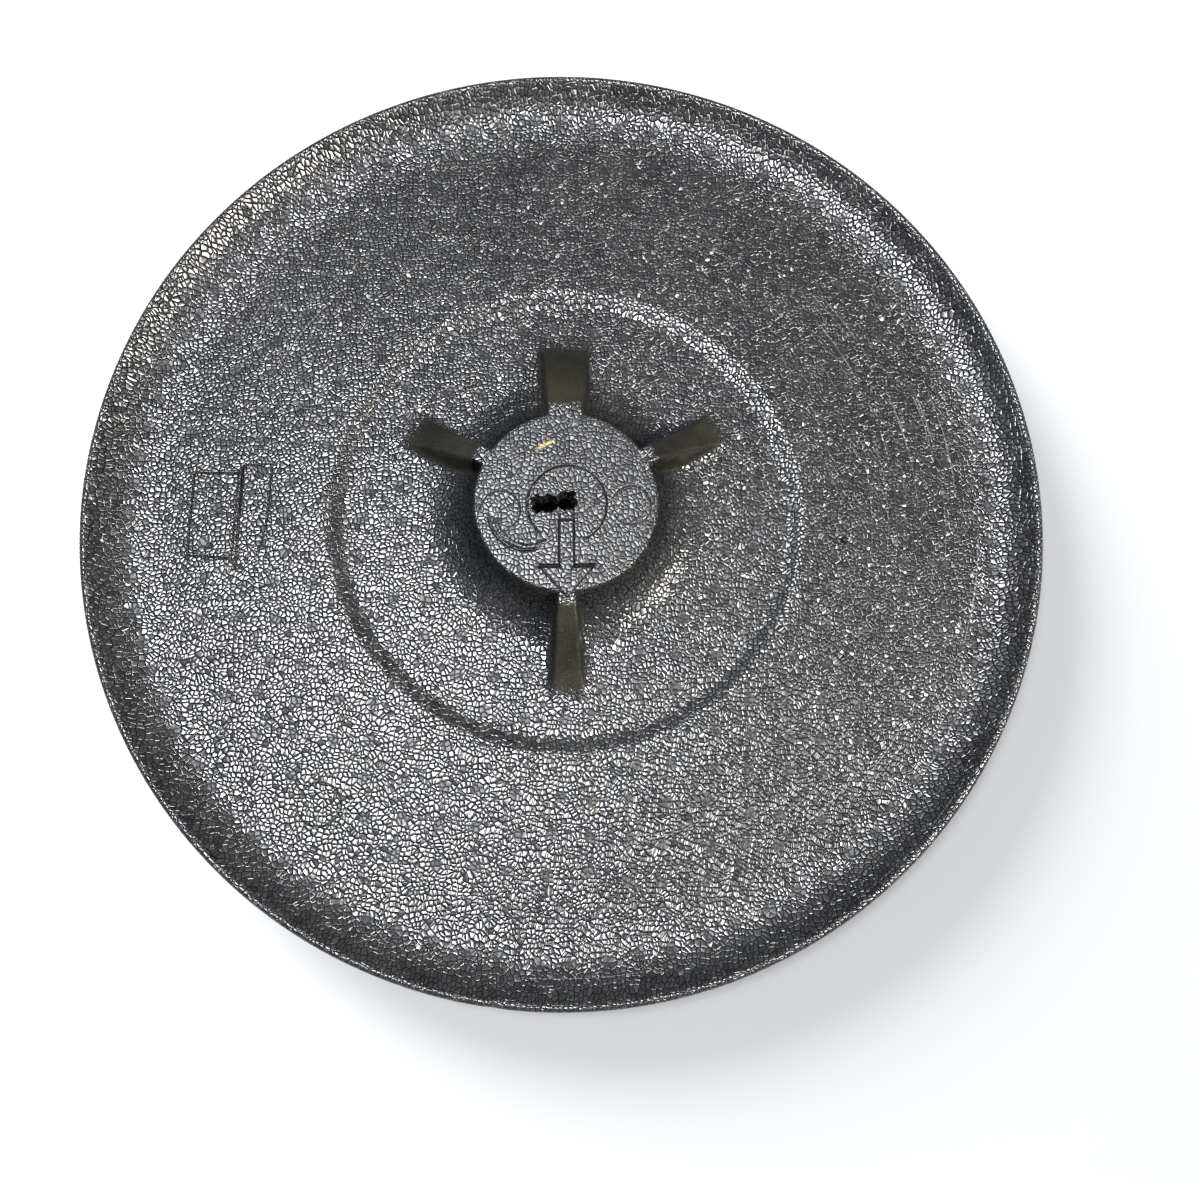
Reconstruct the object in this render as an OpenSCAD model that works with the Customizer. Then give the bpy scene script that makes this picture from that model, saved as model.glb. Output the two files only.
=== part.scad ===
// Round moulded bead-foam insert for the spare-wheel well of a car: a shallow
// dish with a raised hub boss, four buttress ribs, a low ring step and a swept-up
// rim. It is one moulding. The origin is the centre of the flat base, +Z is up,
// and the arrow on the boss points along -Y.

/* [Dish] */
// Diameter over the rim
disc_d = 560; // [500:1:640]
// Foam thickness under the main floor
floor_t = 20; // [17:0.5:28]
// Height of the rim lip above the main floor
rim_h = 16; // [13:0.5:24]
// Radius of the gentle part of the rim sweep
sweep_r = 90; // [70:1:110]
// Slope of the gentle part where the tighter part begins
sweep_break_a = 14; // [8:1:18]
// Radius of the tighter part of the rim sweep
turn_r = 36; // [20:1:40]
// Slope of the rim wall below the lip
rim_wall_a = 44; // [38:1:48]
// Width of the rounded lip in plan
lip_w = 3.5; // [2.5:0.5:7]
// Height of the upright outer wall, below the lip's rounding
outer_wall_h = 14; // [8:0.5:16]
// Draft of the outer wall
outer_draft_a = 3; // [0:0.5:6]
// Slope of the underside where it meets the outer wall
under_a = 42; // [30:1:55]

/* [Ring step] */
// Outer radius of the low ring step in the floor
ring_r = 143; // [125:0.5:180]
// Width of the step's slope
ring_slope_w = 12; // [9:0.5:18]
// How far the inner floor lies below the main floor
ring_h = 3.5; // [2:0.5:5]

/* [Boss] */
// Radius of the boss's flat top
boss_top_r = 52.5; // [44:0.5:56]
// Height of the boss above the main floor
boss_h = 30; // [22:0.5:40]
// Draft of the boss's side
boss_draft_a = 17; // [5:1:20]
// Fillet between the boss and the inner floor
boss_foot_r = 30; // [6:0.5:32]
// Rounding of the boss's top edge
boss_edge_r = 2.5; // [1:0.5:4]
// Radius of the hollow under the boss, at its roof
recess_r = 34; // [28:0.5:38]
// Foam thickness over that hollow
boss_roof_t = 20; // [16:0.5:26]
// Draft of the hollow's side
recess_draft_a = 8; // [3:1:12]

/* [Ribs] */
// Directions of the narrow ribs
narrow_rib_a = [30, 150, 270];
// Direction of the wide rib
wide_rib_a = 90; // [80:1:100]
// Width of a narrow rib at the floor, without its foot fillets
narrow_rib_w = 17.5; // [14:0.5:20]
// Width of the wide rib at the floor, without its foot fillets
wide_rib_w = 27; // [22:0.5:32]
// Radius where a rib's slope leaves the top of the boss
rib_start_r = 59; // [57:0.5:64]
// Radius where a rib's slope reaches the inner floor
rib_end_r = 106; // [98:0.5:112]
// Draft of a rib's sides
rib_draft_a = 6; // [3:1:8]
// Fillet along a rib's foot
rib_foot_r = 6; // [3:0.5:8]

/* [Bolt hole] */
// Radius of the round hole on the axis
bolt_hole_r = 5.8; // [5:0.1:6.5]
// Radius of the near lobe of the tear beside the hole
tear_near_r = 5.1; // [4:0.1:5.5]
// Radius of the far lobe of the tear
tear_far_r = 4.6; // [3.5:0.1:5]
// Distance from the hole's axis to the near lobe's centre
tear_near_x = 9.9; // [9:0.1:10.1]
// Distance from the hole's axis to the far lobe's centre
tear_far_x = 15.7; // [14:0.1:16]
// How far the lobes lie towards the arrow
tear_y = 1.5; // [0:0.1:2]

/* [Moulded marks] */
// Depth of the engraved lines
mark_depth = 0.8; // [0.4:0.1:1.2]
// Width of the engraved lines
mark_w = 1.2; // [0.8:0.1:2]
// Radius of the ring line round the hole, left by the mould's insert
insert_ring_r = 22.7; // [20:0.1:26]
// Distance from the axis to the arrow's tail
arrow_tail_y = 11; // [9:0.5:13]
// Length of the arrow
arrow_l = 44; // [36:0.5:46]
// Width of the arrow's shaft
arrow_shaft_w = 8.5; // [6:0.5:12]
// Width of the arrow's head
arrow_head_w = 30; // [22:0.5:32]
// Length of the arrow's head
arrow_head_l = 17.5; // [12:0.5:20]
// Radius of the round witness mark of the bead injector
injector_mark_r = 12.3; // [10:0.1:15]
// Place of the injector mark on the main floor
injector_mark_xy = [-141, -168];
// Size of each of the two plain insert frames
frame_size = [[26, 51], [16, 55]];
// Centres of the two plain insert frames
frame_xy = [[-208.5, 1], [-184, 2]];

/* [Hidden] */

disc_r = disc_d / 2;
main_z = floor_t;
inner_z = main_z - ring_h;
boss_z = main_z + boss_h;
lip_z = main_z + rim_h;
rib_h = boss_z - inner_z;
recess_h = boss_z - boss_roof_t;
lip_drop = lip_w * 0.9;
overlap = 0.5;
round_fn = 180;

// Points of a circular arc about c, from angle a0 to angle a1
function arc(c, r, a0, a1, n) =
    [for (i = [0:n]) let (a = a0 + (a1 - a0) * i / n) c + r * [cos(a), sin(a)]];

// Rim, worked out from the ridge inwards: a straight wall, a tighter arc that eases
// it, and a gentle arc that leaves the main floor without a kink
ridge = [disc_r - lip_w, lip_z];
turn_rise = turn_r * (cos(sweep_break_a) - cos(rim_wall_a));
sweep_rise = sweep_r * (1 - cos(sweep_break_a));
wall_rise = rim_h - turn_rise - sweep_rise;
turn_end = ridge - wall_rise * [1 / tan(rim_wall_a), 1];
turn_c = turn_end + turn_r * [-sin(rim_wall_a), cos(rim_wall_a)];
sweep_end = turn_c + turn_r * [sin(sweep_break_a), -cos(sweep_break_a)];
sweep_c = sweep_end + sweep_r * [-sin(sweep_break_a), cos(sweep_break_a)];

// Outer wall and underside
wall_top = [disc_r, lip_z - lip_drop];
wall_foot = wall_top - [outer_wall_h * tan(outer_draft_a), outer_wall_h];
// Radius of the underside's curve, which leaves the flat base without a kink
under_r = wall_foot[1] / (1 - cos(under_a));
under_run = under_r * sin(under_a);

// Boss: the foot fillet touches the drafted side and the inner floor
boss_side_a = 90 - boss_draft_a;
boss_foot_x = boss_top_r + rib_h * tan(boss_draft_a)
    + boss_foot_r * tan(boss_side_a / 2);
edge_c = [boss_top_r - boss_edge_r * tan(boss_side_a / 2), boss_z - boss_edge_r];

dish_outline = concat(
    [[0, recess_h], [0, boss_z]],
    arc(edge_c, boss_edge_r, 90, boss_draft_a, 3),
    arc([boss_foot_x, inner_z + boss_foot_r], boss_foot_r, 180 + boss_draft_a, 270, 6),
    [for (i = [0:8]) [
        ring_r - ring_slope_w * (1 - i / 8),
        inner_z + ring_h * (1 - cos(180 * i / 8)) / 2]],
    arc(sweep_c, sweep_r, 270, 270 + sweep_break_a, 5),
    arc(turn_c, turn_r, 270 + sweep_break_a, 270 + rim_wall_a, 6),
    [ridge],
    [for (i = [1:6]) [
        ridge[0] + lip_w * sin(15 * i),
        lip_z - lip_drop * (1 - cos(15 * i))]],
    [wall_foot],
    [for (i = [1:8]) let (a = under_a * (1 - i / 8)) [
        wall_foot[0] - under_run + under_r * sin(a),
        under_r * (1 - cos(a))]],
    [[recess_r + recess_h * tan(recess_draft_a), 0], [recess_r, recess_h]]);

// Cross-section of a rib, with its foot fillets, standing on the inner floor
module rib_section(w) {
    side_a = 90 - rib_draft_a;
    foot_x = w / 2 + rib_foot_r * tan(side_a / 2);
    top_x = w / 2 - rib_h * tan(rib_draft_a);
    half = concat(
        [[foot_x, -overlap]],
        arc([foot_x, rib_foot_r], rib_foot_r, 270, 180 + rib_draft_a, 5),
        [[top_x, rib_h]]);
    polygon(concat(half, [for (i = [len(half) - 1:-1:0]) [-half[i][0], half[i][1]]]));
}

// Side view of a rib: level on the boss, then straight down to the floor
module rib_side() {
    polygon([[0, -overlap], [rib_end_r, -overlap], [rib_end_r, 0],
        [rib_start_r, rib_h], [0, rib_h]]);
}

module rib(w) {
    translate([0, 0, inner_z])
        intersection() {
            rotate([90, 0, 90])
                linear_extrude(rib_end_r)
                    rib_section(w);
            rotate([90, 0, 0])
                translate([0, 0, -w])
                    linear_extrude(2 * w)
                        rib_side();
        }
}

// Shallow line along a circle, cut into a level face at height z
module ring_mark(r, z) {
    translate([0, 0, z - mark_depth])
        difference() {
            cylinder(h = 2 * mark_depth, r = r + mark_w / 2, $fn = round_fn);
            translate([0, 0, -overlap])
                cylinder(h = 2 * mark_depth + 2 * overlap, r = r - mark_w / 2, $fn = round_fn);
        }
}

// Shallow line round a rectangle, cut into the main floor
module frame_mark(size) {
    translate([0, 0, main_z - mark_depth])
        linear_extrude(2 * mark_depth)
            difference() {
                square(size, center = true);
                square(size - [2 * mark_w, 2 * mark_w], center = true);
            }
}

// Outline of the arrow, drawn in by the given inset on every side
module arrow_plan(inset) {
    half_w = arrow_head_w / 2;
    head_y = arrow_tail_y + arrow_l - arrow_head_l;
    side_inset = inset * norm([1 / half_w, 1 / arrow_head_l]);
    shaft_x = arrow_shaft_w / 2 - inset;
    head_x = half_w * (1 - inset / arrow_head_l - side_inset);
    polygon([[-shaft_x, -arrow_tail_y - inset], [shaft_x, -arrow_tail_y - inset],
        [shaft_x, -head_y - inset], [head_x, -head_y - inset],
        [0, -head_y - arrow_head_l * (1 - side_inset)],
        [-head_x, -head_y - inset], [-shaft_x, -head_y - inset]]);
}

module arrow_mark() {
    translate([0, 0, boss_z - mark_depth])
        linear_extrude(2 * mark_depth)
            difference() {
                arrow_plan(0);
                arrow_plan(mark_w);
            }
}

// The round bolt hole and the torn lobes beside it, right through the boss's roof
module bolt_opening() {
    through_h = boss_roof_t + 2 * overlap;
    translate([0, 0, recess_h - overlap]) {
        cylinder(h = through_h, r = bolt_hole_r, $fn = 48);
        translate([-tear_near_x, -tear_y, 0])
            cylinder(h = through_h, r = tear_near_r, $fn = 48);
        translate([-tear_far_x, -tear_y, 0])
            cylinder(h = through_h, r = tear_far_r, $fn = 48);
    }
}

module foam_dish() {
    color([0.17, 0.18, 0.19])
        difference() {
            union() {
                rotate_extrude($fn = round_fn)
                    polygon(dish_outline);
                difference() {
                    union() {
                        for (a = narrow_rib_a)
                            rotate([0, 0, a])
                                rib(narrow_rib_w);
                        rotate([0, 0, wide_rib_a])
                            rib(wide_rib_w);
                    }
                    // the ribs stop inside the boss's wall, clear of the hollow under it
                    translate([0, 0, inner_z - 2 * overlap])
                        cylinder(h = rib_h + 4 * overlap, r = boss_top_r - 2 * boss_edge_r,
                            $fn = round_fn);
                }
            }
            bolt_opening();
            ring_mark(insert_ring_r, boss_z);
            arrow_mark();
            translate([injector_mark_xy[0], injector_mark_xy[1], 0])
                ring_mark(injector_mark_r, main_z);
            for (i = [0:len(frame_xy) - 1])
                translate([frame_xy[i][0], frame_xy[i][1], 0])
                    frame_mark(frame_size[i]);
        }
}

foam_dish();
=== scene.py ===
import math
import bpy
import numpy as np
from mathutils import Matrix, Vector, geometry


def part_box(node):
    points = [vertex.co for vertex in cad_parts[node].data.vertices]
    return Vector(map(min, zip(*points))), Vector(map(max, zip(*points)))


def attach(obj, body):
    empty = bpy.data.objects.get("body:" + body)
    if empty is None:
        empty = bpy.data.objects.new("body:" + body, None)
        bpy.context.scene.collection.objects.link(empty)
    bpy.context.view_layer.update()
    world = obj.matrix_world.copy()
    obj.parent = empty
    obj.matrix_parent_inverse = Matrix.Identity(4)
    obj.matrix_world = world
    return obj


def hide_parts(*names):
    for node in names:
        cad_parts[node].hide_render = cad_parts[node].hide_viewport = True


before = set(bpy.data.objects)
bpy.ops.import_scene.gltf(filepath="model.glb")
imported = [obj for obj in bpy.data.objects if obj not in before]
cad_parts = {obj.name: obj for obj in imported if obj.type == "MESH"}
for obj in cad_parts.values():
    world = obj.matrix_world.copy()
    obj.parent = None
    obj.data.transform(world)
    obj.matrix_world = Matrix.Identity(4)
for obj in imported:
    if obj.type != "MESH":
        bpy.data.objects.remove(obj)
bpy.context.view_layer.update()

# The dish: the insert is one moulding of black expanded-polypropylene beads, fused by
# steam in a closed tool. Its upper skin rises from a flat inner floor over a low ring
# step to the main floor and sweeps up to the lip. Lengths are in millimetres.
MM = 0.001
low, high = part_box("foam_dish")
DISC_R = high.x / MM
BOSS_Z = high.z / MM
MAIN_Z = 20.0
INNER_Z = 16.5
LIP_Z = 36.0
LIP_W = 3.5
LIP_DROP = 0.9 * LIP_W
RING_R = 143.0
RING_W = 12.0
SWEEP_R, SWEEP_A = 90.0, math.radians(14)
TURN_R, WALL_A = 36.0, math.radians(44)

ridge_r = DISC_R - LIP_W
wall_rise = (LIP_Z - MAIN_Z - TURN_R * (math.cos(SWEEP_A) - math.cos(WALL_A))
             - SWEEP_R * (1 - math.cos(SWEEP_A)))
turn_end_r = ridge_r - wall_rise / math.tan(WALL_A)
turn_end_z = LIP_Z - wall_rise
turn_c = (turn_end_r - TURN_R * math.sin(WALL_A), turn_end_z + TURN_R * math.cos(WALL_A))
sweep_end_r = turn_c[0] + TURN_R * math.sin(SWEEP_A)
sweep_start_r = sweep_end_r - SWEEP_R * math.sin(SWEEP_A)


def smooth_min(a, b, k):
    """The lower of two heights, with their corner rounded over about k."""
    h = np.clip(0.5 + 0.5 * (b - a) / k, 0, 1)
    return b + (a - b) * h - k * h * (1 - h)


def ease(t):
    """0 to 1 with level ends."""
    t = np.clip(t, 0, 1)
    return t * t * (3 - 2 * t)


def bowl_height(r):
    """Height of the dish without its boss: inner floor, ring step, main floor, rim and lip."""
    step = np.clip((r - RING_R + RING_W) / RING_W, 0, 1)
    z = INNER_Z + (MAIN_Z - INNER_Z) * (1 - np.cos(np.pi * step)) / 2
    sweep = MAIN_Z + SWEEP_R - np.sqrt(np.maximum(SWEEP_R**2 - (r - sweep_start_r)**2, 0))
    z = np.where(r > sweep_start_r, sweep, z)
    turn = turn_c[1] - np.sqrt(np.maximum(TURN_R**2 - (r - turn_c[0])**2, 0))
    z = np.where(r > sweep_end_r, turn, z)
    wall = turn_end_z + (r - turn_end_r) * math.tan(WALL_A)
    z = np.where(r > turn_end_r, wall, z)
    lip_x = np.clip((r - ridge_r) / LIP_W, 0, 1)
    lip = LIP_Z - LIP_DROP * (1 - np.sqrt(1 - lip_x**2))
    return np.where(r > turn_end_r, smooth_min(z, lip, 0.9), z)


# The hub boss and its buttress ribs: a drafted, flat-topped cone that takes the washer of
# the hold-down bolt, and four ribs that brace it. They are part of the same moulding, so
# each runs into the next through a fillet.
BOSS_R = 52.5
BOSS_DRAFT, RIB_DRAFT = math.radians(17), math.radians(6)
BOSS_FOOT_R, RIB_FOOT_R = 30.0, 6.0
RIB_START, RIB_END = 59.0, 106.0
RIB_FADE = 0.10
RIBS = [(30, 17.5), (90, 27.0), (150, 17.5), (270, 17.5)]
# the top lies a little low, so that the raised marks stay within the part's height
FULL_H = BOSS_Z - 0.6 - INNER_Z
CORNER_K = 5.0


def wall_height(d, draft, foot_r):
    """Height over the inner floor of a drafted wall and its foot fillet, d out from its top edge."""
    foot = FULL_H * np.tan(draft) + foot_r * np.tan((np.pi / 2 - draft) / 2)
    fillet = foot_r - np.sqrt(np.maximum(foot_r**2 - np.clip(foot - d, 0, foot_r)**2, 0))
    return np.where(d < foot - foot_r * np.cos(draft), FULL_H - d / np.tan(draft), fillet)


def hub_fields(x, y):
    """Distance outside the hub's top outline, its rib share, the boss's and the ribs' own
    distances, and the height of the ribs' tops."""
    r = np.hypot(x, y)
    d_rib = np.full(r.shape, 1e3)
    along = np.zeros(r.shape)
    for angle, width in RIBS:
        c, s = math.cos(math.radians(angle)), math.sin(math.radians(angle))
        u, v = x * c + y * s, -x * s + y * c
        half = width / 2 - FULL_H * math.tan(RIB_DRAFT)
        d = np.hypot(np.maximum(np.abs(v) - half, 0), np.minimum(u, 0)) + np.minimum(np.abs(v) - half, 0)
        along = np.where(d < d_rib, u, along)
        d_rib = np.minimum(d, d_rib)
    d_boss = r - BOSS_R
    d = np.minimum(d_boss, d_rib)
    rib_share = ease((d_boss - d_rib) / 12 + 0.5)
    # a rib's top bellies out a little, and then runs out softly on the floor
    left = 1 - np.clip((along - RIB_START) / (RIB_END - RIB_START), 0, 1.3)
    left += 0.05 * np.sin(np.pi * np.clip(left, 0, 1)) * left
    soft_end = np.maximum(left + RIB_FADE, 0)**2 / (4 * RIB_FADE)
    cap = FULL_H * np.minimum(np.where(left > RIB_FADE, left, soft_end), 1)
    return d, rib_share, d_boss, d_rib, cap


def hub_height(x, y):
    """Height over the inner floor of the boss and its ribs, with their inner corners filled."""
    d_boss, d_rib, cap = hub_fields(x, y)[2:]
    boss = smooth_min(wall_height(d_boss, BOSS_DRAFT, BOSS_FOOT_R), FULL_H, 1.8)
    rib = smooth_min(wall_height(d_rib, RIB_DRAFT, RIB_FOOT_R), cap, 1.8)
    z = np.maximum(boss, rib)
    corner = CORNER_K / 4 * np.clip(1 - np.abs(boss - rib) / CORNER_K, 0, 1)**2
    return z + corner * ease(z / 8) * ease((FULL_H - z) / 5)


# The mould's marks: lines that the tool's loose inserts leave in the skin. They are the
# ring round the hole, the arrow for the fitting direction, two witness rings beside it,
# the bead injector's ring and two plain insert plates.
def circle(cx, cy, r, a0=0.0, a1=360.0):
    n = max(12, int(math.radians(a1 - a0) * r / 1.1))
    a = np.radians(np.linspace(a0, a1, n + 1))
    return np.c_[cx + r * np.cos(a), cy + r * np.sin(a)]


def line(*corners):
    """The corners joined by straight runs, with a point about each 1.2 mm."""
    rows = []
    for p, q in zip(corners, corners[1:]):
        n = max(1, round(math.dist(p, q) / 1.2))
        rows += [np.array(p) + (np.array(q) - np.array(p)) * i / n for i in range(n)]
    return np.array(rows + [np.array(corners[-1])], float)


# each mark is (its line, half width, depth); a raised line has a negative depth
MARKS = [
    (circle(0.5, -1.8, 22.7, -62, 225), 0.4, 0.8),
    (circle(0.9, -1.2, 21.0, 5, 150), 0.45, -0.5),
    (circle(-37.5, -5.0, 11.3, -60, 175), 0.35, 0.6),
    (circle(37.0, -2.6, 11.3, -150, 150), 0.35, 0.45),
    (line((-4.2, -38.2), (-4.2, -11.2), (4.2, -11.2), (4.2, -38.2)), 0.45, 0.9),
    (line((-15.4, -37.6), (-4.2, -38.0)), 0.95, 1.2),
    (line((4.2, -38.0), (15.4, -37.6)), 0.95, 1.2),
    (line((-14.8, -38.4), (0, -55.4), (14.8, -38.4)), 0.5, 0.7),
    (line((-4.0, -11.2), (-4.0, -6.2)), 0.5, 0.8),
    (line((4.0, -11.2), (4.0, -6.4)), 0.5, 0.8),
    (circle(-21.5, -8.0, 18.5, 195, 300), 1.1, -0.7),
    (circle(-22.5, -7.0, 21.5, 185, 285), 0.8, 0.6),
    (circle(-141.0, -168.0, 12.3), 0.3, 0.60),
    (line((-194.6, 26.2), (-220.5, 27.0), (-222.5, -23.5), (-198.0, -25.2)), 0.45, 0.9),
    (line((-194.6, 26.2), (-196.6, -25.5)), 0.35, 0.7),
    (line((-193.2, 29.0), (-195.6, -26.0)), 0.5, -0.5),
    (line((-191.9, 31.1), (-174.8, 32.3), (-177.0, -4.0), (-181.0, -21.0)), 0.4, 0.8),
    (line((-191.9, 31.1), (-194.0, -30.9)), 0.5, 1.0),
    (circle(13.4, 198.8, 6.4), 0.35, 0.45),
    (circle(190.9, 83.9, 7.2), 0.35, 0.45),
    (circle(181.1, -103.2, 9.4), 0.35, 0.45),
    (circle(-188.3, -76.4, 8.2), 0.25, 0.3),
]
# pits where a bead is missing: centre, radius and depth
PITS = [(165.3, -17.1, 2.6, 1.3), (-50.6, 21.5, 2.4, 1.5), (-53.2, 23.6, 1.8, 1.1), (-18.0, -150.0, 1.8, 0.5)]


def mark_depths(x, y):
    """How far the marks sink the skin at each point."""
    depth = np.zeros(x.shape)
    p = np.stack([x, y], -1)
    for path, half_w, deep in MARKS:
        near = np.full(x.shape, 1e3)
        box_low, box_high = path.min(0) - 3, path.max(0) + 3
        inside = np.all((p > box_low) & (p < box_high), axis=-1)
        if not inside.any():
            continue
        q = p[inside][:, None, :]
        a, b = path[None, :-1], path[None, 1:]
        t = np.clip(((q - a) * (b - a)).sum(-1) / ((b - a)**2).sum(-1), 0, 1)
        near[inside] = np.linalg.norm(q - a - t[..., None] * (b - a), axis=-1).min(1)
        depth += deep * ease((half_w + 0.22 - near) / 0.44)
    for cx, cy, pit_r, deep in PITS:
        depth += deep * np.clip(1 - np.hypot(x - cx, y - cy) / pit_r, 0, 1)**0.7
    return depth


# The steam vents: slotted plugs in the tool's wall, through which steam enters. Each
# leaves a smooth dull disc in the skin. They stand on a square grid, set a little askew,
# and in one row along the rim.
VENT_R = 3.4
VENT_PITCH = 21.6
VENT_DEPTH = 0.08
shake = np.random.default_rng(7)
vents = []
vent_turn = math.radians(-5)
for i in range(-12, 13):
    for j in range(-12, 13):
        gx, gy = (i + 0.35) * VENT_PITCH, (j + 0.4) * VENT_PITCH
        gx, gy = np.array([gx, gy]) + shake.uniform(-2.6, 2.6, 2)
        x = gx * math.cos(vent_turn) - gy * math.sin(vent_turn)
        y = gx * math.sin(vent_turn) + gy * math.cos(vent_turn)
        r = math.hypot(x, y)
        clear = min(np.hypot(path[:, 0] - x, path[:, 1] - y).min() for path, _, _ in MARKS)
        on_floor = 84 < r < RING_R - RING_W - 5 or RING_R + 5 < r < sweep_start_r - 3
        off_rib = all(abs(-x * math.sin(math.radians(a)) + y * math.cos(math.radians(a))) > w / 2 + 10
                      or x * math.cos(math.radians(a)) + y * math.sin(math.radians(a)) < 0
                      for a, w in RIBS) or r > RIB_END + 8
        if on_floor and off_rib and clear > 7:
            vents.append((x, y))
rim_vents = 84
for i in range(rim_vents):
    a = 2 * math.pi * (i + shake.uniform(-0.15, 0.15)) / rim_vents
    r = 255 + shake.uniform(-2, 2)
    vents.append((r * math.cos(a), r * math.sin(a)))
vents = np.array(vents)


def vent_share(x, y):
    """1 on a vent's disc, 0 off it."""
    near = np.full(x.shape, 1e3)
    for cx, cy in vents:
        near = np.minimum(near, np.hypot(x - cx, y - cy))
    return ease((VENT_R + 0.3 - near) / 0.6)


# The torn hole: the bolt's round hole on the axis, whose left side has broken through
# into a second, ragged one. Beads have pulled out along its edge.
HOLE_LOBES = [(0.0, 0.0, 5.8), (-9.9, -1.5, 5.1), (-15.7, -1.5, 4.6)]
HOLE_C = (-7.0, -0.9)
HOLE_N = 150
tear = np.random.default_rng(3)
tear_waves = [(n, tear.uniform(0.02, 0.07) * (12 / n)**0.4, tear.uniform(0, 6.3)) for n in range(5, 34, 3)]


def hole_outline(extra, twist):
    """Points along the hole's edge, pushed out by extra, with their raggedness turned by twist."""
    a = np.linspace(0, 2 * np.pi, HOLE_N, endpoint=False)
    ux, uy = np.cos(a), np.sin(a)
    reach = np.zeros(HOLE_N)
    for cx, cy, r in HOLE_LOBES:
        dx, dy = HOLE_C[0] - cx, HOLE_C[1] - cy
        along = -(dx * ux + dy * uy)
        inside = along**2 - (dx * dx + dy * dy - r * r)
        reach = np.maximum(reach, np.where(inside > 0, along + np.sqrt(np.maximum(inside, 0)), 0))
    rag = sum(size * np.sin(n * a + phase + twist * n) for n, size, phase in tear_waves)
    reach = reach * (1 + 0.9 * rag) + extra
    return np.c_[HOLE_C[0] + reach * ux, HOLE_C[1] + reach * uy]


def skin_height(x, y):
    """Height of the upper skin, with its marks and vents."""
    r = np.hypot(x, y)
    z = bowl_height(r)
    hub = r < RIB_END + 14
    z[hub] = INNER_Z + np.maximum(hub_height(x[hub], y[hub]), 0)
    z -= mark_depths(x, y)
    z -= VENT_DEPTH * vent_share(x, y)
    # the lip is nicked where the part was levered out
    nick = np.hypot((x + 42) / 5, (y + 277) / 3)
    z -= 2.2 * np.clip(1 - nick, 0, 1)**0.6
    return np.minimum(z, BOSS_Z)


# The upper skin's points: close rows where the skin bends or carries a line, sparse ones
# on its flats. They are joined into triangles and lifted to the skin's height.
def ring_points(r, n, turn=0.0):
    a = 2 * np.pi * (np.arange(n) + turn) / n
    return np.c_[r * np.cos(a), r * np.sin(a)]


def hex_points(reach, pitch):
    rows = int(reach / (pitch * 0.866)) + 1
    columns = int(reach / pitch) + 1
    return np.array([((i + 0.5 * (j % 2)) * pitch, j * pitch * 0.866)
                     for j in range(-rows, rows + 1) for i in range(-columns, columns + 1)])


def snapped(points, levels):
    """Hub points near the walls, moved on to even distances from the hub's top outline."""
    d = hub_fields(points[:, 0], points[:, 1])[0]
    step = 0.02
    gx = (hub_fields(points[:, 0] + step, points[:, 1])[0] - d) / step
    gy = (hub_fields(points[:, 0], points[:, 1] + step)[0] - d) / step
    level = np.array(levels)[np.abs(d[:, None] - np.array(levels)[None]).argmin(1)]
    push = np.where((d > -2) & (d < 8.5), (level - d) / np.maximum(gx**2 + gy**2, 0.3), 0)
    return points + np.c_[gx, gy] * push[:, None]


def thinned(points, cell):
    """The points with only the first kept in each cell."""
    _, keep = np.unique(np.floor(points / cell).astype(int), axis=0, return_index=True)
    return points[np.sort(keep)]


RIM_N = 600
rim_rows = [(r, RIM_N) for r in (279.85, 279.4, 278.8, 278.1, 277.4, 276.8, 276.2, 275.4, 274.2,
                                 272.7, 271.0, 269.0, 267.0)]
rim_rows += [(r, 360) for r in (264.5, 262, 259.5, 257, 254.5, 251.5, 248, 244.5, 241, 237.5, 235.5, 233)]
rim_rows += [(r, 300) for r in np.arange(228, RING_R + 4, -5.5)]
rim_rows += [(r, 300) for r in np.arange(RING_R + 1.5, RING_R - RING_W - 2, -1.1)]
rim_rows += [(r, 200) for r in (127, 123, 119, 115)]
floor_points = np.vstack([ring_points(r, n, 0.5 * (i % 2)) for i, (r, n) in enumerate(rim_rows)])

fine = hex_points(114, 1.0)
fine = fine[np.hypot(fine[:, 0], fine[:, 1]) < 112.5]
hub_d, hub_rib, _, _, hub_cap = hub_fields(fine[:, 0], fine[:, 1])
walls = (hub_d > -2) & (hub_d < 8.5) & (hub_cap > 0)
fillets = (hub_d >= 8.5) & (hub_d < 35) & (np.hypot(fine[:, 0], fine[:, 1]) < 88)
coarse = hex_points(114, 2.6)
coarse = coarse[np.hypot(coarse[:, 0], coarse[:, 1]) < 112.5]
middle = thinned(fine[fillets], 1.6)
coarse_d = hub_fields(coarse[:, 0], coarse[:, 1])[0]
coarse = coarse[(coarse_d < -2.5) | (coarse_d > 7)]
wall_points = thinned(snapped(fine[walls], [-1.6, -0.8, -0.2, 0.4, 1.1, 1.9, 2.8, 3.7, 4.7, 6.0, 7.5]), 0.62)
base_points = np.vstack([wall_points, middle, thinned(coarse, 1.2), floor_points])

line_points = []
for path, half_w, _ in MARKS:
    tangent = np.gradient(path, axis=0)
    normal = np.c_[-tangent[:, 1], tangent[:, 0]] / np.linalg.norm(tangent, axis=1)[:, None]
    offsets = [side * (half_w + out) for side in (-1, 1) for out in (-0.1, 0.26, 0.6)]
    line_points += [path + normal * off for off in offsets]
for cx, cy, pit_r, _ in PITS:
    line_points += [circle(cx, cy, pit_r * share)[:-1] for share in (1.05, 0.8, 0.5, 0.2)]
line_points = np.vstack(line_points)
vent_points = np.vstack([[(cx, cy)] for cx, cy in vents]
                        + [circle(cx, cy, VENT_R - 0.35)[:-1] for cx, cy in vents]
                        + [circle(cx, cy, VENT_R + 0.35)[:-1] for cx, cy in vents])


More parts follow.
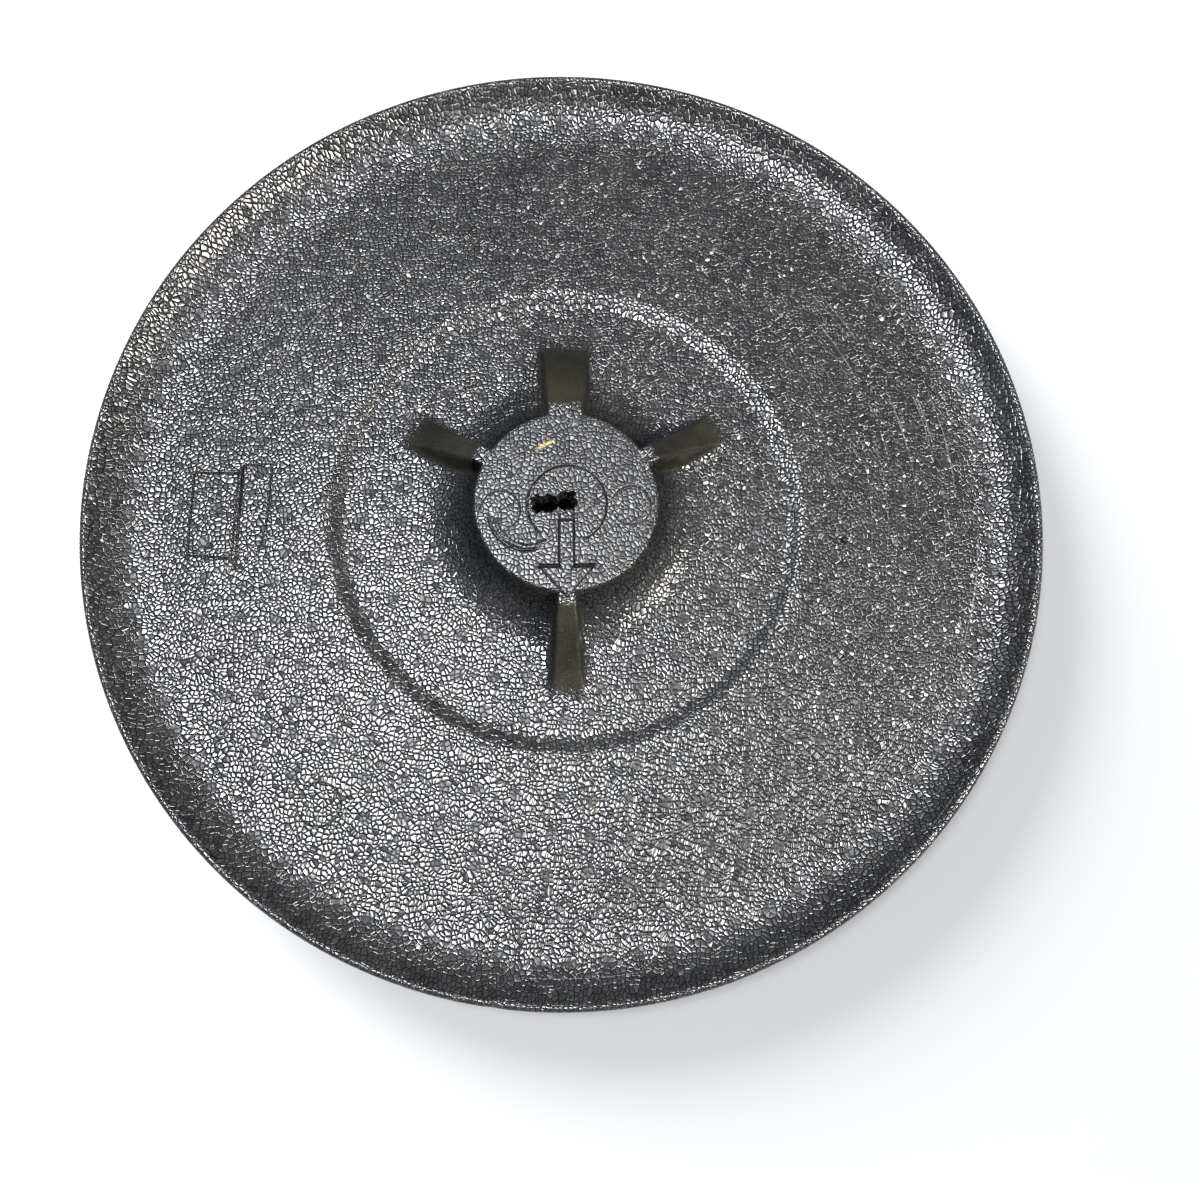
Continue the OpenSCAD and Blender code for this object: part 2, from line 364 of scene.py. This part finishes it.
def away_from(points, others, gap):
    """The points that lie at least gap from all the others, found through cells of that size."""
    cells = {}
    for p in others:
        cells.setdefault((math.floor(p[0] / gap), math.floor(p[1] / gap)), []).append(p)
    keep = []
    for n, p in enumerate(points):
        cx, cy = math.floor(p[0] / gap), math.floor(p[1] / gap)
        keep.append(all(math.dist(p, q) >= gap for i in (-1, 0, 1) for j in (-1, 0, 1)
                        for q in cells.get((cx + i, cy + j), ())))
    return points[np.array(keep)]


base_points = away_from(base_points, line_points, 0.75)
base_points = away_from(base_points, vents, VENT_R + 0.9)
line_points = thinned(line_points, 0.25)

hole_top = hole_outline(0.35, 0.0)
inner_rows = [hole_outline(0.35 + out, 0.0) for out in (0.8, 1.7)]
hole_reach = lambda p: np.hypot((p[:, 0] - HOLE_C[0]) / 17.5, (p[:, 1] - HOLE_C[1]) / 9.5)
loose = np.vstack([line_points, base_points, vent_points])
hole_a = np.arctan2(loose[:, 1] - HOLE_C[1], loose[:, 0] - HOLE_C[0]) % (2 * np.pi)
edge_r = np.hypot(inner_rows[1][:, 0] - HOLE_C[0], inner_rows[1][:, 1] - HOLE_C[1])
limit = np.interp(hole_a, np.linspace(0, 2 * np.pi, HOLE_N + 1), np.r_[edge_r, edge_r[0]])
loose = loose[np.hypot(loose[:, 0] - HOLE_C[0], loose[:, 1] - HOLE_C[1]) > limit + 0.5]
edge_ring = ring_points(DISC_R, RIM_N)
loose = loose[np.hypot(loose[:, 0], loose[:, 1]) < DISC_R - 0.2]
top_points = np.vstack([edge_ring, hole_top, *inner_rows, loose])


def joined(points, hole_start):
    """Triangles over the points, without those across the hole, whose edge starts at hole_start."""
    hole_ids = list(range(hole_start, hole_start + HOLE_N))
    hole_edges = list(zip(hole_ids, hole_ids[1:] + hole_ids[:1]))
    made, _, faces, origin, _, _ = geometry.delaunay_2d_cdt(
        [Vector(p) for p in points], hole_edges, [], 0, 1e-7)
    source = [ids[0] for ids in origin]
    triangles = np.array([[source[v] for v in face] for face in faces])
    centre = points[triangles].mean(1) - np.array(HOLE_C)
    a = np.arctan2(centre[:, 1], centre[:, 0]) % (2 * np.pi)
    edge = points[hole_ids] - np.array(HOLE_C)
    limit = np.interp(a, np.linspace(0, 2 * np.pi, HOLE_N + 1),
                      np.r_[np.hypot(edge[:, 0], edge[:, 1]), np.hypot(*edge[0])])
    inner = np.all((triangles >= hole_start) & (triangles < hole_start + HOLE_N), axis=1)
    outside = np.hypot(centre[:, 0], centre[:, 1]) > limit
    return triangles[~inner & outside]


top_faces = joined(top_points, RIM_N)
top_z = skin_height(top_points[:, 0], top_points[:, 1])

# The underside: a flat base that rests on the wheel or the well's floor, curved up to the
# outer wall, with a drafted round hollow under the boss. Its shape is the usual one.
OUTER_WALL_H = 14.0
OUTER_DRAFT = math.radians(3)
UNDER_A = math.radians(42)
RECESS_R = 34.0
RECESS_DRAFT = math.radians(8)
ROOF_T = 20.0
recess_z = BOSS_Z - ROOF_T
foot_z = LIP_Z - LIP_DROP - OUTER_WALL_H
foot_r = DISC_R - OUTER_WALL_H * math.tan(OUTER_DRAFT)
under_r = foot_z / (1 - math.cos(UNDER_A))
under_start = foot_r - under_r * math.sin(UNDER_A)
mouth_r = RECESS_R + recess_z * math.tan(RECESS_DRAFT)


def base_height(r):
    curve = under_r - np.sqrt(np.maximum(under_r**2 - np.maximum(r - under_start, 0)**2, 0))
    recess = np.clip((mouth_r - r) / (mouth_r - RECESS_R), 0, 1) * recess_z
    return np.where(r > mouth_r, curve, recess)


base_rows = [(r, max(120, min(RIM_N, int(2 * math.pi * r / 4.5))))
             for r in (277.5, 274, 270, 265, 259, 252, 244, 235, 226, 212, 195, 175, 150, 125, 100, 80,
                       64, 53, 46, 42, 40, 39, mouth_r + 0.2, mouth_r - 0.3, 37.2, 36.2, 35.1,
                       RECESS_R + 0.3, RECESS_R - 0.2, 32.5, 30, 27.5)]
hole_foot = hole_outline(1.2, 0.25)
base_points = np.vstack([ring_points(foot_r, RIM_N), hole_foot]
                        + [ring_points(r, n, 0.5 * (i % 2)) for i, (r, n) in enumerate(base_rows)])
base_faces = joined(base_points, RIM_N)
base_z = base_height(np.hypot(base_points[:, 0], base_points[:, 1]))
base_z[RIM_N:RIM_N + HOLE_N] = recess_z

# The skins are closed into one body by the outer wall and by the hole's rough wall.
WALL_ROWS = 5
wall_rings = []
for i in range(1, WALL_ROWS):
    share = i / WALL_ROWS
    wall_rings.append(np.c_[ring_points(DISC_R + (foot_r - DISC_R) * share, RIM_N),
                            np.full(RIM_N, LIP_Z - LIP_DROP - OUTER_WALL_H * share)])
hole_rings = []
for i in range(1, 9):
    share = i / 9
    ring = hole_outline(0.35 + 0.85 * share, 0.25 * share)
    ring += np.c_[np.sin(share * 40 + np.arange(HOLE_N) * 0.9), np.cos(share * 31 + np.arange(HOLE_N) * 1.1)] * 0.25
    top_edge = top_z[RIM_N:RIM_N + HOLE_N]
    hole_rings.append(np.c_[ring, top_edge + (recess_z - top_edge) * share])


def band(first, second, n, flip):
    """Squares between two closed rows of n points."""
    a = np.arange(n)
    b = (a + 1) % n
    rows = np.c_[first + a, first + b, second + b, second + a]
    return rows[:, ::-1] if flip else rows


vertices = np.vstack([np.c_[top_points, top_z], np.c_[base_points, base_z], *wall_rings, *hole_rings])
base_first = len(top_points)
wall_first = base_first + len(base_points)
hole_first = wall_first + (WALL_ROWS - 1) * RIM_N
faces = [list(map(int, f)) for f in top_faces]
faces += [[int(v) + base_first for v in f[::-1]] for f in base_faces]
rows = [0] + [wall_first + i * RIM_N for i in range(WALL_ROWS - 1)] + [base_first]
for upper, lower in zip(rows, rows[1:]):
    faces += band(upper, lower, RIM_N, True).tolist()
rows = [RIM_N] + [hole_first + i * HOLE_N for i in range(8)] + [base_first + RIM_N]
for upper, lower in zip(rows, rows[1:]):
    faces += band(upper, lower, HOLE_N, False).tolist()

mesh = bpy.data.meshes.new("bead_foam_dish")
mesh.from_pydata((vertices * MM).tolist(), [], faces)
mesh.validate()
mesh.polygons.foreach_set("use_smooth", [True] * len(mesh.polygons))
x, y, z = vertices.T
r = np.hypot(x, y)
upper_skin = np.arange(len(vertices)) < base_first
vent_mask = np.where(upper_skin, vent_share(x, y), 0)
hub_d, hub_rib, _, _, hub_cap = hub_fields(x, y)
on_rib = ease((hub_rib - 0.5) / 0.3) * ease((5.5 - hub_d) / 2) * ease((RIB_END + 2 - r) / 9)
rib_mask = np.where(upper_skin, on_rib * ease((r - 57) / 4) * (r > 50), 0)
mark_mask = np.where(upper_skin, np.clip(mark_depths(x, y) / 0.7, 0, 1), 0)
for name, values in (("vent", vent_mask), ("rib_skin", rib_mask), ("mark", mark_mask)):
    mesh.attributes.new(name, "FLOAT", "POINT").data.foreach_set("value", values.astype(np.float32))
dish = bpy.data.objects.new("bead_foam_dish", mesh)
bpy.context.scene.collection.objects.link(dish)


# The skin's finish: domed, glossy black beads about 2.6 mm across, pressed together in
# dark seams. It is duller and smoother on the vents and the ribs, and the floor is
# scuffed where luggage and the wheel have rubbed it.
class Signal:
    """A shader socket that sums, multiplies and compares as a number does."""

    def __init__(self, tree, socket):
        self.tree, self.socket = tree, socket

    def maths(self, operation, *others, swap=False):
        terms = [self, *others]
        if swap:
            terms.reverse()
        return self.tree.node("ShaderNodeMath", {"operation": operation}, dict(enumerate(terms)))[0]

    def __add__(self, other): return self.maths("ADD", other)
    def __radd__(self, other): return self.maths("ADD", other)
    def __sub__(self, other): return self.maths("SUBTRACT", other)
    def __rsub__(self, other): return self.maths("SUBTRACT", other, swap=True)
    def __mul__(self, other): return self.maths("MULTIPLY", other)
    def __rmul__(self, other): return self.maths("MULTIPLY", other)
    def __truediv__(self, other): return self.maths("DIVIDE", other)
    def __rtruediv__(self, other): return self.maths("DIVIDE", other, swap=True)
    def __pow__(self, other): return self.maths("POWER", other)
    def __neg__(self): return self.maths("MULTIPLY", -1.0)
    def __gt__(self, other): return self.maths("GREATER_THAN", other)
    def __lt__(self, other): return self.maths("LESS_THAN", other)

    def between(self, start, end):
        """0 at start and 1 at end, eased and held outside them."""
        return self.tree.node("ShaderNodeMapRange", {"interpolation_type": "SMOOTHSTEP"},
                              {0: self, 1: start, 2: end, 3: 0.0, 4: 1.0})[0]


class Finish:
    """A material's nodes."""

    def __init__(self, name):
        self.material = bpy.data.materials.new(name)
        self.material.use_nodes = True
        self.nodes = self.material.node_tree.nodes
        self.links = self.material.node_tree.links
        self.nodes.clear()

    def node(self, kind, settings=None, inputs=None):
        """A node of that kind. Returns its outputs as signals."""
        made = self.nodes.new(kind)
        for key, value in (settings or {}).items():
            if key == "stops":
                ramp = made.color_ramp.elements
                while len(ramp) < len(value):
                    ramp.new(0.5)
                for stop, (place, colour) in zip(ramp, value):
                    stop.position, stop.color = place, (*colour, 1)
            else:
                setattr(made, key, value)
        for key, value in (inputs or {}).items():
            if isinstance(value, Signal):
                self.links.new(value.socket, made.inputs[key])
            else:
                made.inputs[key].default_value = value
        return [Signal(self, out) for out in made.outputs]

    def blend(self, share, a, b):
        """Colour a where share is 0 and b where it is 1."""
        a, b = [(*c, 1) if isinstance(c, tuple) else c for c in (a, b)]
        return self.node("ShaderNodeMix", {"data_type": "RGBA"}, {0: share, 6: a, 7: b})[2]

    def noise(self, vector, scale, detail=2.0):
        return self.node("ShaderNodeTexNoise", {}, {"Vector": vector, "Scale": scale, "Detail": detail})[0]


BEAD_MM = 2.6
foam = Finish("black_bead_foam")
place = foam.node("ShaderNodeTexCoord")[3]
sway = foam.node("ShaderNodeTexNoise", {}, {"Vector": place, "Scale": 75.0, "Detail": 1.0})[1]
sway = foam.node("ShaderNodeVectorMath", {"operation": "SCALE"}, {0: sway, 3: 2.4})[0]
in_beads = foam.node("ShaderNodeVectorMath", {"operation": "SCALE"}, {0: place, 3: 1 / (BEAD_MM * MM)})[0]
in_beads = foam.node("ShaderNodeVectorMath", {"operation": "ADD"}, {0: in_beads, 1: sway})[0]
px, py, pz = foam.node("ShaderNodeSeparateXYZ", {}, {0: place})
facing = foam.node("ShaderNodeNewGeometry")[1]
level = foam.node("ShaderNodeSeparateXYZ", {}, {0: facing})[2]
steep = 1 - level.maths("ABSOLUTE").between(0.62, 0.72)
radius = (px * px + py * py)**0.5
vent = foam.node("ShaderNodeAttribute", {"attribute_name": "vent"})[2]
rib = foam.node("ShaderNodeAttribute", {"attribute_name": "rib_skin"})[2]
mark = foam.node("ShaderNodeAttribute", {"attribute_name": "mark"})[2]
on_boss = (1 - radius.between(0.050, 0.054)) * pz.between(0.045, 0.047)


def bead_layer(dimensions):
    """Domes, seams and a colour for each bead, on the flat or in the round."""
    shape = {"voronoi_dimensions": dimensions}
    sockets = {"Vector": in_beads, "Scale": 1.0, "Randomness": 0.82}
    cell = foam.node("ShaderNodeTexVoronoi", shape, sockets)
    edge = foam.node("ShaderNodeTexVoronoi", {**shape, "feature": "DISTANCE_TO_EDGE"}, sockets)[0]
    own = foam.node("ShaderNodeSeparateColor", {}, {0: cell[1]})
    offset = foam.node("ShaderNodeVectorMath", {"operation": "SUBTRACT"}, {0: in_beads, 1: cell[2]})[0]
    ox, oy, oz = foam.node("ShaderNodeSeparateXYZ", {}, {0: offset})
    dome = 1 - (1 - (edge * 2.0).maths("MINIMUM", 1.0))**2.0
    tilt = (own[0] - 0.5) * ox + (own[1] - 0.5) * oy
    return dome, edge, own[2], tilt


flat = bead_layer("2D")
deep = bead_layer("3D")
dome, edge, own, tilt = [a * (1 - steep) + b * steep for a, b in zip(flat, deep)]
seam = 1 - edge.between(0.0, 0.16)

# scuffs run round the dish, because the wheel turns on it
turn = py.maths("ARCTAN2", px)
swept = foam.node("ShaderNodeCombineXYZ", {}, {0: turn * 1.3, 1: radius * 620.0, 2: 0.0})[0]
scratches = foam.noise(swept, 1.0, 2.0).between(0.64, 0.70)
patches = foam.noise(place, 7.0, 2.0)
scuffed = scratches * patches.between(0.48, 0.60) * radius.between(0.165, 0.19)
cloudy = foam.noise(place, 24.0, 3.0)
grain = foam.noise(place, 1900.0, 2.0)
plain = vent.maths("MAXIMUM", rib).maths("MAXIMUM", mark)

relief = dome * 0.15 + tilt * (own.between(0.75, 1.0) * 1.3 + 0.3) - seam * 0.12 + grain * 0.006
kept = 1 - rib.maths("MAXIMUM", mark) * 0.75 - vent * 0.45 - on_boss * 0.3
relief = relief * kept + grain * (rib + on_boss) * 0.03 + scuffed * 0.12
bump = foam.node("ShaderNodeBump", {}, {"Strength": 1.0, "Distance": MM, "Height": relief})[0]

bead_black = foam.blend(own, (0.005, 0.0053, 0.006), (0.014, 0.0145, 0.016))
bead_black = foam.blend(cloudy.between(0.35, 0.7) * 0.4, bead_black, (0.020, 0.021, 0.021))
seamed = foam.blend(seam * (1 - plain * 0.7), bead_black, (0.002, 0.002, 0.002))
vented = foam.blend(vent * 0.8, seamed, (0.009, 0.0095, 0.0105))
# painted reflection: the ribs are tinted a warm olive brown, standing in for the warm room that their smoother skin
# reflects; the foam there is the same black as elsewhere
rib_warm_reflection = foam.blend(rib * 0.85, vented, foam.blend(cloudy.between(0.3, 0.7), (0.006, 0.0055, 0.0035), (0.020, 0.0175, 0.011)))
# painted shade: the mark grooves and the pits are darkened nearly to black, standing in for the shade that falls in
# them
groove_shade_colour = foam.blend(mark * 0.85, rib_warm_reflection, (0.002, 0.002, 0.002))
rubbed = foam.blend(scuffed * 0.5, groove_shade_colour, (0.12, 0.12, 0.12))
# a short streak of yellow paint lies on the boss
along = (px + 0.0115) * 0.896 + (py - 0.0334) * 0.444
across = (py - 0.0334) * 0.896 - (px + 0.0115) * 0.444
streak = (1 - along.maths("ABSOLUTE").between(0.004, 0.007)) * (1 - across.maths("ABSOLUTE").between(0.0003, 0.0014))
worn = foam.blend(streak * 0.8, rubbed, (0.30, 0.25, 0.07))
dullness = own * 0.06 + 0.22 + rib * 0.08 + vent * 0.12 + on_boss * 0.06 + scuffed * 0.15
skin = foam.node("ShaderNodeBsdfPrincipled", {}, {
    "Base Color": worn, "Roughness": dullness, "IOR": 1.5, "Normal": bump})[0]
# painted shade: the seams are deep and narrow, so they hold nearly all the light that falls in, and a black matte
# skin is mixed in there to stand for that shade; the same black stands for the shade in the mark grooves and pits,
# and a little of it dulls the vents, the ribs and the boss top
gap = (1 - edge.between(0.0, 0.13)) * (1 - plain * 0.7) * (1 - on_boss * 0.3)
held = gap * 0.9 + mark * 0.75 + vent * 0.5 + rib * 0.25 + on_boss * 0.15
hollow = foam.node("ShaderNodeBsdfDiffuse", {}, {"Color": (0.003, 0.003, 0.003, 1)})[0]
foam.node("ShaderNodeOutputMaterial", {}, {0: foam.node("ShaderNodeMixShader", {}, {
    0: held.maths("MINIMUM", 0.92), 1: skin, 2: hollow})[0]})
mesh.materials.append(foam.material)

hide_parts("foam_dish")
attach(dish, "root")

# The studio: a pale floor under a large soft ceiling light, up and to the left, and a
# weak warm one at the right. The floor shows white to the camera, so only the soft
# shadow is seen on it.
floor_mesh = bpy.data.meshes.new("studio_floor")
floor_mesh.from_pydata([(-4, -4, 0), (4, -4, 0), (4, 4, 0), (-4, 4, 0)], [], [(0, 1, 2, 3)])
floor = bpy.data.objects.new("studio_floor", floor_mesh)
floor.location.z = -0.0005
bpy.context.scene.collection.objects.link(floor)
paper = Finish("pale_floor")
fx, fy, fz = paper.node("ShaderNodeSeparateXYZ", {}, {0: paper.node("ShaderNodeTexCoord")[3]})
reach = (fx * fx + fy * fy)**0.5
outside = reach.between(0.20, 0.27)
rays = paper.node("ShaderNodeLightPath")
seen = rays[0].maths("MAXIMUM", rays[3]).maths("MAXIMUM", rays[6])
card = paper.node("ShaderNodeBsdfDiffuse", {}, {"Color": (0.15, 0.15, 0.15, 1)})[0]
glow = paper.node("ShaderNodeEmission", {}, {"Color": (1, 1, 1, 1), "Strength": 0.28})[0]
lit = paper.node("ShaderNodeAddShader", {}, {0: card, 1: glow})[0]
near = paper.node("ShaderNodeMixShader", {}, {0: seen * outside, 1: card, 2: lit})[0]
blank = paper.node("ShaderNodeEmission", {}, {"Color": (1, 1, 1, 1), "Strength": 1.0})[0]
paper.node("ShaderNodeOutputMaterial", {}, {0: paper.node("ShaderNodeMixShader", {}, {
    0: seen * reach.between(0.6, 1.6), 1: near, 2: blank})[0]})
floor_mesh.materials.append(paper.material)

world = bpy.data.worlds.new("studio")
bpy.context.scene.world = world
world.use_nodes = True
sky = world.node_tree
sky.nodes.clear()
ambient = sky.nodes.new("ShaderNodeBackground")
ambient.inputs[0].default_value = (0.90, 0.94, 1.0, 1)
ambient.inputs[1].default_value = 0.14
white = sky.nodes.new("ShaderNodeBackground")
path = sky.nodes.new("ShaderNodeLightPath")
pick = sky.nodes.new("ShaderNodeMixShader")
sky.links.new(path.outputs["Is Camera Ray"], pick.inputs[0])
sky.links.new(ambient.outputs[0], pick.inputs[1])
sky.links.new(white.outputs[0], pick.inputs[2])
sky.links.new(pick.outputs[0], sky.nodes.new("ShaderNodeOutputWorld").inputs[0])


def soft_light(name, direction, distance, size, watts, colour):
    lamp = bpy.data.lights.new(name, "AREA")
    lamp.shape = "DISK"
    lamp.size, lamp.energy, lamp.color = size, watts, colour
    holder = bpy.data.objects.new(name, lamp)
    holder.location = Vector(direction).normalized() * distance
    holder.rotation_euler = Vector(direction).to_track_quat("Z", "Y").to_euler()
    bpy.context.scene.collection.objects.link(holder)
    return holder


soft_light("ceiling_light", (-0.19, 0.03, 0.98), 2.4, 0.8, 165, (0.90, 0.94, 1.0))
soft_light("window_light", (-0.45, 0.35, 0.82), 2.4, 2.0, 14, (0.90, 0.94, 1.0))
side_light = soft_light("side_light", (0.62, -0.30, 0.72), 2.0, 0.65, 130, (1.0, 0.94, 0.84))
# this lamp only throws the object's shadow on the floor
shade_lamp = soft_light("shade_lamp", (-0.60, 0.66, 0.40), 4.4, 2.6, 1600, (1.0, 1.0, 1.0))
floor_only = bpy.data.collections.new("floor_only")
floor_only.objects.link(floor)
shade_lamp.light_linking.receiver_collection = floor_only
dish_only = bpy.data.collections.new("dish_only")
dish_only.objects.link(dish)
side_light.light_linking.receiver_collection = dish_only

lens = bpy.data.cameras.new("camera")
lens.sensor_fit = "HORIZONTAL"
lens.lens = 34.19
lens.clip_start = 0.01
camera = bpy.data.objects.new("camera", lens)
camera.location = (0.0017, -0.1730, 0.6770)
camera.rotation_euler = (0.189, -0.0242, -0.0139)
bpy.context.scene.collection.objects.link(camera)
bpy.context.scene.camera = camera
bpy.context.scene.view_settings.view_transform = "Standard"
